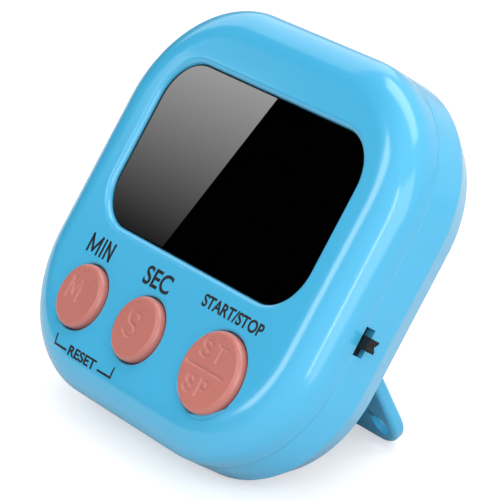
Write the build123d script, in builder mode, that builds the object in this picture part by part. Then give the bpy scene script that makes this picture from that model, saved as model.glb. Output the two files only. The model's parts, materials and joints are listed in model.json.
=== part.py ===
from build123d import *
import os
from math import atan, atan2, acos, cos, degrees, hypot, radians, sin

# A pocket kitchen timer, standing on the lower back edge of its case and on its fold-out stand.
# Lengths are in millimetres. On the case, x runs to the right and y up the face, both from the
# face's centre, and a depth runs from the face towards the back. The finished timer has +Z up,
# +X to the right and its face towards -Y.

os.makedirs("parts", exist_ok=True)

# Case
case_width = 74.0
case_height = 71.0
case_depth = 18.5
corner_radius = 22.6
front_round = 4.9
side_depth = 13.5
back_inset = 2.8
crease_round = 1.5
back_round = 1.0
wall = 1.8
seam_depth = 7.4
seam_bevel = 0.2
tongue_length = 1.0
tongue_gap = 0.05

# Display
window_width = 54.4
window_height = 30.8
window_radius = 8.0
window_y = 7.65
lip_width = 1.6
lip_round = 1.2
lens_depth = 1.0
lens_thickness = 1.0
lens_gap = 0.05
lens_bevel = 0.12
ledge_width = 1.6
ledge_thickness = 1.0
glass_thickness = 1.0
glass_width = 52.4
glass_top = 24.2
glass_bottom = -8.9
contact_strip = 2.5
reflector_thickness = 0.2

# Buttons
button_y = -21.1
buttons = {
    "minute_button": (-19.4, 5.66),
    "second_button": (-2.5, 5.66),
    "start_stop_button": (18.4, 7.0),
}
button_gap = 0.25
button_height = 1.15
button_round = 0.9
button_hole_round = 0.35
button_travel = 0.8
collar_width = 1.0
collar_depth = 3.0
flange_front = 3.1
flange_back = 4.0
flange_width = 1.0
stem_radius = 1.7
stem_end = 8.0
tact_size = 6.0
tact_front = 6.1
tact_hole = 1.8

# Circuit board
board_front = 9.6
board_thickness = 1.2
board_inset = 3.0
board_top = 5.0
board_posts = ((-29.2, 2.0), (29.2, 2.0), (7.6, -29.6))
post_radius = 1.8
post_hole = 0.8

# Case screws
screw_places = ((-24.5, 26.6), (24.5, 26.6), (-30.2, -13.5), (30.2, -13.5))
screw_radius = 1.0
screw_head_radius = 1.9
screw_seat = 12.5
screw_head_height = 1.4
recess_half = 1.2
recess_depth = 0.8
boss_radius = 2.6
boss_front = 9.0

# Side switch
switch_y = -5.5
switch_slot = (-8.0, -3.1)
switch_foot = (-7.9, -4.4)
switch_knob = (-6.6, -4.45)
switch_front = 7.4
switch_back = 9.35
switch_gap = 0.1
knob_reach = 2.1
foot_sunk = 0.9
notch_half = 0.8
notch_depth = 0.55

# Battery bay and cell
bay_y = 15.0
bay_half = 5.75
bay_left = -26.2
bay_right = 24.7
bay_wall = 1.8
bay_floor_front = 5.5
bay_floor_back = 6.2
door_thickness = 1.5
door_rim = 1.0
door_gap = 0.1
door_seat_gap = 0.15
door_round = 0.5
door_corner = 1.0
tab_half = 2.0
tab_places = (-12.0, 12.0)
latch_half = 5.0
latch_depth = 1.5
grip_pitch = 1.3
grip_half = 0.3
cell_radius = 5.25
cell_depth = 11.6
cell_left = -22.0
cell_right = 22.5

# Stand
stand_half = 26.4
stand_length = 25.2
stand_thickness = 2.5
stand_corner = 6.0
stand_round = 0.9
stand_angle = 60.6
hinge_y = -5.4
hinge_depth = case_depth - stand_thickness / 2
hinge_pin_radius = 0.8
hinge_pin_gap = 0.05
hinge_pin_length = 1.6
hang_hole_radius = 2.05
hang_hole_x = 22.6
hang_hole_rise = 4.6
dimple_radius = 0.55
dimple_depth = 0.6
dimple_step = 2.4
pocket_gap = 0.3
pocket_floor = 1.2

# Magnets and buzzer
magnet_places = ((-13.0, 27.2), (13.0, 27.2))
magnet_radius = 4.0
magnet_thickness = 1.6
magnet_bevel = 0.2
buzzer_y = -18.0
buzzer_radius = 10.0
ceramic_radius = 7.0
sound_hole_radius = 0.6
sound_ring_radius = 3.0

# Lean: the lower back edge of the case and the tip of the stand stand on one floor
slope = atan(back_inset / (case_depth - side_depth))
edge_y = -case_height / 2 + back_inset + back_round * (1 - sin(slope)) / cos(slope)
edge_out = -case_depth + back_round
open_angle = radians(stand_angle)
tip_reach = stand_length - stand_round
tip_rise = stand_thickness / 2 - stand_round
tip_y = hinge_y - tip_reach * cos(open_angle) - tip_rise * sin(open_angle)
tip_out = -hinge_depth - tip_reach * sin(open_angle) + tip_rise * cos(open_angle)
span_y = edge_y - tip_y
span_out = edge_out - tip_out
lean = atan2(span_out, span_y) - acos((back_round - stand_round) / hypot(span_y, span_out))


def height_of(y, out):
    """How high a point of the case lies along +Z, before the timer is lifted to the floor."""
    return y * cos(lean) + out * sin(lean)


def reach_of(y, out):
    """How far back a point of the case lies along +Y, before the timer is centred."""
    return y * sin(lean) - out * cos(lean)


lift = back_round - height_of(edge_y, edge_out)
foremost = reach_of(-case_height / 2 + front_round, -front_round) - front_round
rearmost = reach_of(-edge_y, edge_out) + back_round
face = Plane(
    origin=(-knob_reach / 2, -(foremost + rearmost) / 2, lift),
    x_dir=(1, 0, 0),
    z_dir=(0, -cos(lean), sin(lean)),
)
outward = Axis(face.origin, face.z_dir)
print(f"leans back {degrees(lean):.2f} degrees, origin of the face {tuple(face.origin)}")


def at(depth):
    """The plane parallel to the face at a depth below it."""
    return face.offset(-depth)


def across(x):
    """The plane across the case at x: a sketch's x runs up the face and its y out of it."""
    return Plane(origin=face.from_local_coords((x, 0, 0)), x_dir=face.y_dir, z_dir=face.x_dir)


def save(piece, name):
    """Labels a finished piece and writes it."""
    piece.part.label = name
    export_step(piece.part, f"parts/{name}.step")


def case_outline(inset, mode=Mode.ADD):
    """The case's outline, moved in by inset."""
    RectangleRounded(
        case_width - 2 * inset, case_height - 2 * inset, corner_radius - inset, mode=mode
    )


def window_outline(margin, mode=Mode.ADD):
    """The window's outline, moved out by margin."""
    with Locations((0, window_y)):
        RectangleRounded(
            window_width + 2 * margin, window_height + 2 * margin, window_radius + margin, mode=mode
        )


def block(x, y, front, back, mode=Mode.ADD, corner=0):
    """A box over the x and y ranges, from one depth to another, with its upright edges rounded."""
    with BuildSketch(at(back)) as outline:
        with Locations(((x[0] + x[1]) / 2, (y[0] + y[1]) / 2)):
            if corner:
                RectangleRounded(x[1] - x[0], y[1] - y[0], corner)
            else:
                Rectangle(x[1] - x[0], y[1] - y[0])
    extrude(outline.sketch, amount=back - front, mode=mode)


def disc(places, radius, front, back, mode=Mode.ADD):
    """Round posts or holes at the places, from one depth to another."""
    with BuildSketch(at(back)) as outline:
        with Locations(*places):
            Circle(radius)
    extrude(outline.sketch, amount=back - front, mode=mode)


def bar(y, depth, radius, left, right, mode=Mode.ADD):
    """A round bar or hole along x."""
    with BuildSketch(across(left)) as outline:
        with Locations((y, -depth)):
            Circle(radius)
    extrude(outline.sketch, amount=right - left, mode=mode)


def wire(points, radius, bend):
    """A wire through the points, each given as x, y and depth, with round bends."""
    places = [face.from_local_coords((x, y, -depth)) for x, y, depth in points]
    with BuildLine() as route:
        FilletPolyline(*places, radius=bend)
    with BuildSketch(Plane(origin=route.wire() @ 0, z_dir=route.wire() % 0)) as section:
        Circle(radius)
    sweep(section.sketch, path=route.wire())


def case_form(inset):
    """The case's closed form, moved in by inset on every side."""
    with BuildPart() as form:
        with BuildSketch(at(side_depth)):
            case_outline(inset)
        extrude(amount=side_depth - inset)
        fillet(form.faces().sort_by(outward)[-1].edges(), front_round - inset)
        with BuildSketch(at(side_depth)):
            case_outline(inset)
        extrude(amount=-(case_depth - side_depth - inset), taper=degrees(slope))
        crease = form.edges().filter_by_position(outward, -side_depth - 0.01, -side_depth + 0.01)
        fillet(crease, crease_round)
        fillet(form.faces().sort_by(outward)[0].edges(), back_round)
    return form.part


outer_form = case_form(0)
inner_form = case_form(wall)

# Front cover: a dish with the window, the button holes and the posts inside
with BuildPart() as front_cover:
    add(outer_form)
    split(bisect_by=at(seam_depth), keep=Keep.TOP)
    chamfer(front_cover.faces().sort_by(outward)[0].edges(), seam_bevel)
    add(inner_form, mode=Mode.SUBTRACT)
    with BuildSketch(at(seam_depth + tongue_length)):
        case_outline(wall / 2 + tongue_gap)
        case_outline(wall, mode=Mode.SUBTRACT)
    extrude(amount=tongue_length + seam_bevel)
    with BuildSketch(at(lens_depth + lens_thickness + ledge_thickness)):
        window_outline(ledge_width)
    extrude(amount=lens_thickness + ledge_thickness)
    disc(screw_places, post_radius, wall, boss_front)
    disc(board_posts, post_radius, wall, board_front)
    for x, radius in buttons.values():
        disc([(x, button_y)], radius + button_gap + collar_width, wall, collar_depth)
    with BuildSketch(at(lens_depth)):
        window_outline(lens_gap)
    extrude(
        amount=lens_depth, taper=-degrees(atan(lip_width / lens_depth)), mode=Mode.SUBTRACT
    )
    lip = front_cover.faces().sort_by(outward)[-1].inner_wires()[0].edges()
    fillet(lip, lip_round)
    with BuildSketch(at(lens_depth + lens_thickness)):
        window_outline(lens_gap)
    extrude(amount=lens_thickness, mode=Mode.SUBTRACT)
    with BuildSketch(at(lens_depth + lens_thickness + ledge_thickness)):
        window_outline(-ledge_width)
    extrude(amount=ledge_thickness, mode=Mode.SUBTRACT)
    for x, radius in buttons.values():
        disc([(x, button_y)], radius + button_gap, 0, collar_depth, mode=Mode.SUBTRACT)
    rims = [
        edge
        for edge in front_cover.faces().sort_by(outward)[-1].edges().filter_by(GeomType.CIRCLE)
        if edge.is_closed
    ]
    fillet(rims, button_hole_round)
    disc(screw_places, screw_radius, wall + 1, boss_front, mode=Mode.SUBTRACT)
    disc(board_posts, post_hole, wall + 3, board_front, mode=Mode.SUBTRACT)
    block(
        (case_width / 2 - wall - 1, case_width / 2 + 1),
        switch_slot,
        switch_front,
        switch_back,
        mode=Mode.SUBTRACT,
    )
save(front_cover, "front_cover")

# Display: a lens on the ledge, and behind it two glasses, a reflector and foam
with BuildPart() as display_window:
    with BuildSketch(at(lens_depth + lens_thickness)):
        window_outline(0)
    extrude(amount=lens_thickness)
    chamfer(display_window.faces().sort_by(outward)[-1].edges(), lens_bevel)
save(display_window, "display_window")

glass_front = lens_depth + lens_thickness + ledge_thickness
glass_middle = glass_front + glass_thickness
glass_back = glass_middle + glass_thickness
reflector_back = glass_back + reflector_thickness
glass_x = (-glass_width / 2, glass_width / 2)

with BuildPart() as lcd_front_glass:
    block(glass_x, (glass_bottom, glass_top), glass_front, glass_middle)
save(lcd_front_glass, "lcd_front_glass")

with BuildPart() as lcd_rear_glass:
    block(glass_x, (glass_bottom + contact_strip, glass_top), glass_middle, glass_back)
save(lcd_rear_glass, "lcd_rear_glass")

with BuildPart() as lcd_reflector:
    block(
        (glass_x[0] + 1, glass_x[1] - 1),
        (glass_bottom + contact_strip + 1, glass_top - 1),
        glass_back,
        reflector_back,
    )
save(lcd_reflector, "lcd_reflector")

with BuildPart() as lcd_foam_strips:
    for y in (10.0, 20.0):
        block((-22, 22), (y - 1.5, y + 1.5), reflector_back, bay_floor_front)
save(lcd_foam_strips, "lcd_foam_strips")

with BuildPart() as lcd_connector:
    block(
        (glass_x[0] + 1, glass_x[1] - 1),
        (glass_bottom + 0.15, glass_bottom + contact_strip - 0.15),
        glass_middle,
        board_front,
    )
save(lcd_connector, "lcd_connector")

# Circuit board, notched for the screw posts, and its small parts
board_back = board_front + board_thickness
with BuildPart() as circuit_board:
    with BuildSketch(at(board_back)):
        case_outline(board_inset)
        with Locations((0, board_top + case_height / 2)):
            Rectangle(case_width, case_height, mode=Mode.SUBTRACT)
        with Locations(*screw_places):
            Circle(boss_radius + 0.4, mode=Mode.SUBTRACT)
        with Locations(*board_posts):
            Circle(post_hole + 0.1, mode=Mode.SUBTRACT)
    extrude(amount=board_thickness)
save(circuit_board, "circuit_board")

with BuildPart() as chip_blob:
    with BuildSketch(at(board_back)):
        with Locations((-10, -6)):
            Circle(4.5)
    extrude(amount=-1.4)
    fillet(chip_blob.faces().sort_by(outward)[0].edges(), 1.3)
save(chip_blob, "chip_blob")

with BuildPart() as crystal_can:
    bar(-6, board_back + 1.0, 1.0, 2, 8)
save(crystal_can, "crystal_can")

with BuildPart() as capacitors:
    for x, y in ((-22, -2), (-22, -9), (12, -2), (20, -8)):
        block((x - 1.0, x + 1.0), (y - 0.65, y + 0.65), board_back, board_back + 0.9)
save(capacitors, "capacitors")

with BuildPart() as resistors:
    for x, y in ((-1, 1.5), (4, 1.5), (9, 1.5), (-16, 1.5)):
        block((x - 1.0, x + 1.0), (y - 0.6, y + 0.6), board_back, board_back + 0.5)
save(resistors, "resistors")

with BuildPart() as board_screws:
    disc(board_posts, post_hole - 0.02, board_front - 4, board_back)
    disc(board_posts, 1.6, board_back, board_back + 1.0)
save(board_screws, "board_screws")

# Buttons: a cap behind each hole's collar, pushing a stem into a tact switch
for name, (x, radius) in buttons.items():
    with BuildPart() as button:
        disc([(x, button_y)], radius, -button_height, flange_back)
        fillet(button.faces().sort_by(outward)[-1].edges(), button_round)
        disc([(x, button_y)], radius + flange_width, flange_front, flange_back)
    save(button, name)
    with BuildPart() as stem:
        disc([(x, button_y)], stem_radius, flange_back, stem_end)
    save(stem, name.replace("_button", "_stem"))

tact_places = [(x, button_y) for x, _ in buttons.values()]
with BuildPart() as tact_switch_bodies:
    for x, y in tact_places:
        block(
            (x - tact_size / 2, x + tact_size / 2),
            (y - tact_size / 2, y + tact_size / 2),
            tact_front,
            board_front,
            corner=0.5,
        )
    disc(tact_places, tact_hole, tact_front, stem_end + button_travel + 0.2, mode=Mode.SUBTRACT)
save(tact_switch_bodies, "tact_switch_bodies")

with BuildPart() as tact_switch_plates:
    for x, y in tact_places:
        block(
            (x - tact_size / 2 + 0.2, x + tact_size / 2 - 0.2),
            (y - tact_size / 2 + 0.2, y + tact_size / 2 - 0.2),
            tact_front - 0.25,
            tact_front,
            corner=0.5,
        )
    disc(tact_places, tact_hole, tact_front - 0.25, tact_front, mode=Mode.SUBTRACT)
save(tact_switch_plates, "tact_switch_plates")

# Side switch: a box on the board's right edge, with its knob out through the case's slot
inner_side = case_width / 2 - wall
switch_x = (inner_side - 4.2, inner_side - 0.4)
switch_span = (switch_y - 4.3, switch_y + 4.3)
slider_front = switch_front + switch_gap
slider_back = switch_back - switch_gap
with BuildPart() as side_switch_body:
    block(switch_x, switch_span, switch_front - 0.4, board_front)
    block(
        (switch_x[0] + 0.6, switch_x[1]),
        (switch_slot[0] - 0.1, switch_slot[1] + 0.1),
        switch_front,
        switch_back,
        mode=Mode.SUBTRACT,
    )
save(side_switch_body, "side_switch_body")

with BuildPart() as side_switch_shell:
    block(
        (switch_x[0], switch_x[1] - 0.4),
        (switch_span[0] + 0.6, switch_span[1] - 0.6),
        switch_front - 0.7,
        switch_front - 0.4,
    )
save(side_switch_shell, "side_switch_shell")

with BuildPart() as side_switch_pins:
    for y in (-8.0, -5.5, -3.0):
        block((32.0, 32.6), (y - 0.3, y + 0.3), board_back, board_back + 1.2)
save(side_switch_pins, "side_switch_pins")

knob_end = case_width / 2 + knob_reach
with BuildPart() as side_switch_knob:
    foot_end = case_width / 2 - foot_sunk
    block((switch_x[0] + 0.9, foot_end), switch_foot, slider_front, slider_back)
    block((foot_end, knob_end), switch_knob, slider_front, slider_back)
    notch_y = sum(switch_knob) / 2
    with BuildSketch(at(slider_back)):
        with BuildLine():
            Polyline(
                (knob_end + 0.1, notch_y - notch_half),
                (knob_end - notch_depth, notch_y),
                (knob_end + 0.1, notch_y + notch_half),
                close=True,
            )
        make_face()
    extrude(amount=slider_back - slider_front, mode=Mode.SUBTRACT)
save(side_switch_knob, "side_switch_knob")

# Back cover: the battery bay, the stand's pocket, the screw bosses and the magnets' cups
pocket_depth = stand_thickness + 0.3
pocket_top = hinge_y + stand_thickness / 2 + pocket_gap
pocket_bottom = hinge_y - stand_length - pocket_gap
pocket_x = (-stand_half - pocket_gap, stand_half + pocket_gap)
floor_front = case_depth - pocket_depth - pocket_floor
bay_x = (bay_left, bay_right)
bay_span = (bay_y - bay_half, bay_y + bay_half)
door_x = (bay_left - door_rim, bay_right + door_rim)
door_y = (bay_span[0] - door_rim, bay_span[1] + door_rim)
door_depth = case_depth - door_thickness
with BuildPart() as back_cover:
    add(outer_form)
    split(bisect_by=at(seam_depth), keep=Keep.BOTTOM)
    chamfer(back_cover.faces().sort_by(outward)[-1].edges(), seam_bevel)
    add(inner_form, mode=Mode.SUBTRACT)
    with BuildSketch(at(seam_depth + tongue_length + tongue_gap)):
        case_outline(wall / 2)
    extrude(amount=tongue_length + 1, mode=Mode.SUBTRACT)
    block(
        (pocket_x[0] - 2.4, pocket_x[1] + 2.4),
        (pocket_bottom - pocket_floor, pocket_top + pocket_floor),
        floor_front,
        case_depth - wall,
        corner=stand_corner,
    )
    block(
        (bay_x[0] - bay_wall, bay_x[1] + bay_wall),
        (bay_span[0] - bay_wall, bay_span[1] + bay_wall),
        bay_floor_front,
        case_depth - wall,
    )
    disc(screw_places, boss_radius, boss_front, case_depth - wall)
    disc(magnet_places, magnet_radius + 1, case_depth - magnet_thickness - 1, case_depth - wall)
    disc([(0, buzzer_y)], buzzer_radius + 1, floor_front - 1.0, floor_front)
    disc([(0, buzzer_y)], buzzer_radius + 0.1, floor_front - 1.0, floor_front - 0.4, Mode.SUBTRACT)
    disc([(0, buzzer_y)], buzzer_radius - 0.8, floor_front - 1.0, floor_front, Mode.SUBTRACT)
    add(outer_form, mode=Mode.INTERSECT)
    block(bay_x, bay_span, bay_floor_back, case_depth + 1, mode=Mode.SUBTRACT)
    block(
        (door_x[0] - door_gap, door_x[1] + door_gap),
        (door_y[0] - door_gap, door_y[1] + door_gap),
        door_depth - door_seat_gap,
        case_depth + 1,
        mode=Mode.SUBTRACT,
        corner=door_corner + door_gap,
    )
    for x in tab_places:
        block(
            (x - tab_half - 0.3, x + tab_half + 0.3),
            (door_y[0] - 1.6, bay_span[0] + 0.1),
            door_depth - 2.0,
            door_depth,
            mode=Mode.SUBTRACT,
        )
    block(
        (-latch_half - 1, latch_half + 1),
        (door_y[1] - 1, door_y[1] + 2.0),
        case_depth - 1.2,
        case_depth + 1,
        mode=Mode.SUBTRACT,
        corner=0.9,
    )
    block(
        pocket_x,
        (pocket_bottom, pocket_top),
        case_depth - pocket_depth,
        case_depth + 1,
        mode=Mode.SUBTRACT,
        corner=stand_corner + pocket_gap,
    )
    block(
        pocket_x,
        (pocket_top - 6, pocket_top),
        case_depth - pocket_depth,
        case_depth + 1,
        mode=Mode.SUBTRACT,
    )
    pin_reach = stand_half + hinge_pin_length + 0.2
    bar(
        hinge_y,
        hinge_depth,
        hinge_pin_radius + hinge_pin_gap,
        -pin_reach,
        pin_reach,
        mode=Mode.SUBTRACT,
    )
    sound_places = [(0, buzzer_y)] + [
        (
            sound_ring_radius * cos(radians(60 * turn)),
            buzzer_y + sound_ring_radius * sin(radians(60 * turn)),
        )
        for turn in range(6)
    ]
    disc(sound_places, sound_hole_radius, floor_front, case_depth, mode=Mode.SUBTRACT)
    disc(magnet_places, magnet_radius + 0.05, case_depth - magnet_thickness, case_depth + 1, Mode.SUBTRACT)
    disc(screw_places, screw_radius + 0.15, boss_front, case_depth, mode=Mode.SUBTRACT)
    disc(screw_places, screw_head_radius + 0.3, screw_seat, case_depth + 1, mode=Mode.SUBTRACT)
    block(
        (case_width / 2 - wall - 1, case_width / 2 + 1),
        switch_slot,
        switch_front - 1,
        switch_back,
        mode=Mode.SUBTRACT,
    )
save(back_cover, "back_cover")

with BuildPart() as case_screws:
    disc(screw_places, screw_radius - 0.02, wall + 2, screw_seat)
    disc(screw_places, screw_head_radius, screw_seat, screw_seat + screw_head_height)
    for x, y in screw_places:
        for half_x, half_y in ((recess_half, 0.25), (0.25, recess_half)):
            block(
                (x - half_x, x + half_x),
                (y - half_y, y + half_y),
                screw_seat + screw_head_height - recess_depth,
                screw_seat + screw_head_height,
                mode=Mode.SUBTRACT,
            )
save(case_screws, "case_screws")

with BuildPart() as magnets:
    disc(magnet_places, magnet_radius, case_depth - magnet_thickness, case_depth)
    chamfer(magnets.faces().sort_by(outward)[0:2].edges(), magnet_bevel)
save(magnets, "magnets")

# Battery door: hooked under the case's wall at its lower edge, on whose round it rolls open,
# with a grip at its upper edge
with BuildPart() as battery_door:
    block(door_x, door_y, door_depth, case_depth, corner=door_corner)
    fillet(battery_door.faces().sort_by(outward)[0].edges(), door_round)
    for x in tab_places:
        block(
            (x - tab_half, x + tab_half),
            (door_y[0] - 1.0, bay_span[0] + 1),
            door_depth - 1.2,
            door_depth,
        )
    block(
        (-latch_half, latch_half),
        (door_y[1] - 2.6, door_y[1] - 1.85),
        door_depth - latch_depth,
        door_depth,
    )
    for row in range(4):
        groove_y = door_y[1] - 1.6 - grip_pitch * row
        block(
            (-latch_half, latch_half),
            (groove_y - grip_half, groove_y + grip_half),
            case_depth - grip_half,
            case_depth,
            mode=Mode.SUBTRACT,
        )
save(battery_door, "battery_door")

# Battery cell and its contacts
with BuildPart() as battery_sleeve:
    bar(bay_y, cell_depth, cell_radius, cell_left + 0.3, cell_right - 1.2)
    bar(bay_y, cell_depth, cell_radius - 0.2, cell_left + 0.3, cell_right - 1.2, Mode.SUBTRACT)
save(battery_sleeve, "battery_sleeve")

with BuildPart() as battery_can:
    bar(bay_y, cell_depth, cell_radius - 0.2, cell_left, cell_right - 1.4)
save(battery_can, "battery_can")

with BuildPart() as battery_cap:
    bar(bay_y, cell_depth, 3.6, cell_right - 1.4, cell_right - 1.0)
    bar(bay_y, cell_depth, 1.9, cell_right - 1.0, cell_right)
save(battery_cap, "battery_cap")

contact_y = (bay_y - 4.2, bay_y + 4.2)
contact_depths = (cell_depth - 4.2, cell_depth + 4.2)
with BuildPart() as positive_contact:
    block((bay_right - 0.4, bay_right), contact_y, *contact_depths)
    bar(bay_y, cell_depth, 2.6, cell_right, bay_right - 0.4)
save(positive_contact, "positive_contact")

with BuildPart() as negative_contact:
    block((bay_left, bay_left + 0.4), contact_y, *contact_depths)
save(negative_contact, "negative_contact")

spring_wire = 0.35
spring_start = bay_left + 0.4 + spring_wire
spring_turns = 3.5
spring_height = cell_left - spring_start - spring_wire - 0.05
spring_place = face.from_local_coords((spring_start + 0.05, bay_y, -cell_depth))
with BuildPart() as battery_spring:
    with BuildLine():
        coil = Helix(
            pitch=spring_height / spring_turns,
            height=spring_height,
            radius=3.2,
            center=spring_place,
            direction=(1, 0, 0),
            cone_angle=-15,
        )
    with BuildSketch(Plane(origin=coil @ 0, z_dir=coil % 0)):
        Circle(spring_wire)
    sweep(path=coil, is_frenet=True)
save(battery_spring, "battery_spring")

# Wires: from the contacts' ends and the buzzer to the back of the board
wire_radius = 0.45
wire_bend = 0.9
for name, side, start in (
    ("positive_wire", 1, bay_right + bay_wall),
    ("negative_wire", -1, -bay_left + bay_wall),
):
    run_x = side * (start + wire_radius + 0.1)
    with BuildPart() as lead:
        wire(
            [
                (run_x, 13.0, board_back + 2.0),
                (run_x, 2.0, board_back + 2.0),
                (run_x - side * 4.0, 2.0, board_back + 2.0),
                (run_x - side * 4.0, 2.0, board_back),
            ],
            wire_radius,
            wire_bend,
        )
    save(lead, name)

with BuildPart() as buzzer_plate:
    disc([(0, buzzer_y)], buzzer_radius, floor_front - 0.65, floor_front - 0.4)
save(buzzer_plate, "buzzer_plate")

with BuildPart() as buzzer_ceramic:
    disc([(0, buzzer_y)], ceramic_radius, floor_front - 0.85, floor_front - 0.65)
save(buzzer_ceramic, "buzzer_ceramic")

with BuildPart() as buzzer_wires:
    for x, depth in ((-2.5, floor_front - 0.85), (8.2, floor_front - 0.65)):
        wire(
            [
                (x, buzzer_y + 1, depth),
                (x, buzzer_y + 1, depth - 1.3),
                (x, buzzer_y + 6, depth - 1.3),
                (x, buzzer_y + 6, board_back),
            ],
            0.35,
            0.6,
        )
save(buzzer_wires, "buzzer_wires")

# Stand: a wide leaf on two stub pins, opened, with a hanging hole near each lower corner
hinge_place = face.from_local_coords((0, hinge_y, -hinge_depth))
leaf = Plane(
    origin=hinge_place,
    x_dir=face.x_dir,
    z_dir=face.z_dir * cos(open_angle) - face.y_dir * sin(open_angle),
)
leaf_axis = Axis(leaf.origin, leaf.z_dir)
with BuildPart() as stand:
    with BuildSketch(leaf.offset(-stand_thickness / 2)):
        with Locations((0, -stand_length / 2)):
            RectangleRounded(2 * stand_half, stand_length, stand_corner)
        with Locations((0, -stand_length / 4)):
            Rectangle(2 * stand_half, stand_length / 2)
    extrude(amount=stand_thickness)
    ends = stand.faces().sort_by(leaf_axis)
    fillet(ends[0].edges() + ends[-1].edges(), stand_round)
    with BuildSketch(across(-stand_half)):
        with Locations((hinge_y, -hinge_depth)):
            Circle(stand_thickness / 2)
    extrude(amount=2 * stand_half)
    bar(
        hinge_y,
        hinge_depth,
        hinge_pin_radius,
        -stand_half - hinge_pin_length,
        stand_half + hinge_pin_length,
    )
    hole_places = [(side * hang_hole_x, hang_hole_rise - stand_length) for side in (-1, 1)]
    with BuildSketch(leaf.offset(-stand_thickness / 2)):
        with Locations(*hole_places):
            Circle(hang_hole_radius)
    extrude(amount=stand_thickness, mode=Mode.SUBTRACT)
    with BuildSketch(leaf.offset(stand_thickness / 2 - dimple_depth)):
        with Locations(*[(x - dimple_step * x / abs(x), y + dimple_step) for x, y in hole_places]):
            Circle(dimple_radius)
    extrude(amount=dimple_depth, mode=Mode.SUBTRACT)
save(stand, "stand")

whole = [front_cover, back_cover, stand, side_switch_knob]
low = [min(tuple(p.part.bounding_box().min)[i] for p in whole) for i in range(3)]
high = [max(tuple(p.part.bounding_box().max)[i] for p in whole) for i in range(3)]
print("box", [round(v, 3) for v in low], [round(v, 3) for v in high])
for label, x, y, depth in (
    ("hinge", 0, hinge_y, hinge_depth),
    ("door hinge", 0, door_y[0] + door_round, case_depth - door_round),
    ("magnet left", *magnet_places[0], case_depth),
    ("magnet right", *magnet_places[1], case_depth),
):
    print(label, [round(v, 4) for v in face.from_local_coords((x, y, -depth))])
for x, y in hole_places:
    print("hang hole", [round(v, 4) for v in leaf.from_local_coords((x, y, 0))])
print("face normal", tuple(face.z_dir), "up the face", tuple(face.y_dir), "leaf normal", tuple(leaf.z_dir))
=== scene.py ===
# %% [markdown]
# # A pocket kitchen timer
#
# The timer is a rounded blue case that leans back on a fold-out stand. Its working parts come
# from a packed engineering model, which is the frame of this scene: every size and place below
# is read from it, and nothing in it is moved. Around that frame the cells model the outer
# shells, the keys and the printing again as clean meshes, give every piece a plastic, metal or
# rubber finish made of nodes, and light the timer as a small studio would.

# %% Load the frame
import json
from collections import namedtuple
from math import cos, degrees, hypot, pi, radians, sin, sqrt

import bmesh
import bpy
from mathutils import Matrix, Vector


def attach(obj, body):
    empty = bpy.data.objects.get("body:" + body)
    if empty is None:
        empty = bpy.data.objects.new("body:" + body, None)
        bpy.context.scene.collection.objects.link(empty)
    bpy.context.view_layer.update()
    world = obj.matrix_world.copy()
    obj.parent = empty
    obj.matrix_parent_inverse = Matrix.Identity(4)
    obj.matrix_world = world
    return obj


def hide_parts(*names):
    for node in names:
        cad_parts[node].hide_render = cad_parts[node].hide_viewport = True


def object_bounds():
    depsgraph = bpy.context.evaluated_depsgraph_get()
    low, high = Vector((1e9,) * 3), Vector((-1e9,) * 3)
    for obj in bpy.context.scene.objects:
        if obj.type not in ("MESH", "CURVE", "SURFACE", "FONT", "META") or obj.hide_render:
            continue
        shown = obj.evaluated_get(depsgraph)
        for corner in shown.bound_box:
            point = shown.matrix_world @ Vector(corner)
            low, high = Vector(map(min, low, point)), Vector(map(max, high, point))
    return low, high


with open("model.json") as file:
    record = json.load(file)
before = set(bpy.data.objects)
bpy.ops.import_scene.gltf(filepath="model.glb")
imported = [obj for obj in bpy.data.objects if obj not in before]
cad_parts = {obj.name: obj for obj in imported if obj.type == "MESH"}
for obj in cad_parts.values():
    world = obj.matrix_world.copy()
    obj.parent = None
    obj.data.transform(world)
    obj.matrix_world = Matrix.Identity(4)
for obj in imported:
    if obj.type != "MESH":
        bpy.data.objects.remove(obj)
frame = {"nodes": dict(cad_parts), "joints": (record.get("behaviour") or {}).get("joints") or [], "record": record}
cad_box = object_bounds()
nodes = frame["nodes"]
joints = {joint["name"]: joint for joint in frame["joints"]}

# %% [markdown]
# ## A drawing board on the face
#
# The case leans, so no face of it lines up with the world's axes. A maker would draw it flat on
# a board, so these cells lay a board on the timer's face: x runs to the right, y up the face and
# z out of it, in millimetres from the face's centre. Three directions are enough to place it.
# The keys are pressed straight into the face, and the side switch slides straight up it, so the
# joints already hold two of them, and the third is square to both.

# %% Lay the board on the face
OUT = -Vector(joints["minute_press"]["axis"]).normalized()
UP = Vector(joints["side_switch_slide"]["axis"]).normalized()
RIGHT = UP.cross(OUT).normalized()
MILLIMETRE = 0.001


def reach(node, direction):
    """How far a node goes along a direction, lowest and highest."""
    along = [direction.dot(corner.co) for corner in nodes[node].data.vertices]
    return min(along), max(along)


centre = (
    RIGHT * sum(reach("front_cover", RIGHT)) / 2
    + UP * sum(reach("front_cover", UP)) / 2
    + OUT * reach("front_cover", OUT)[1]
)
turn = Matrix((RIGHT, UP, OUT)).transposed().to_4x4()
BOARD = Matrix.Translation(centre) @ turn @ Matrix.Scale(MILLIMETRE, 4)
print("face centre", [round(v, 5) for v in centre], "leans", round(90 - degrees(OUT.angle((0, 0, 1))), 1))

# %% Measure a node on the board
TO_BOARD = BOARD.inverted()


def board_box(node):
    """Lowest and highest corner of a node on the board, in millimetres."""
    points = [TO_BOARD @ corner.co for corner in nodes[node].data.vertices]
    low = Vector([min(point[i] for point in points) for i in range(3)])
    high = Vector([max(point[i] for point in points) for i in range(3)])
    return low, high


cover_low, cover_high = board_box("front_cover")
case_width, case_height = cover_high.x - cover_low.x, cover_high.y - cover_low.y
print("the case is", round(case_width, 2), "by", round(case_height, 2), "mm")

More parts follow.
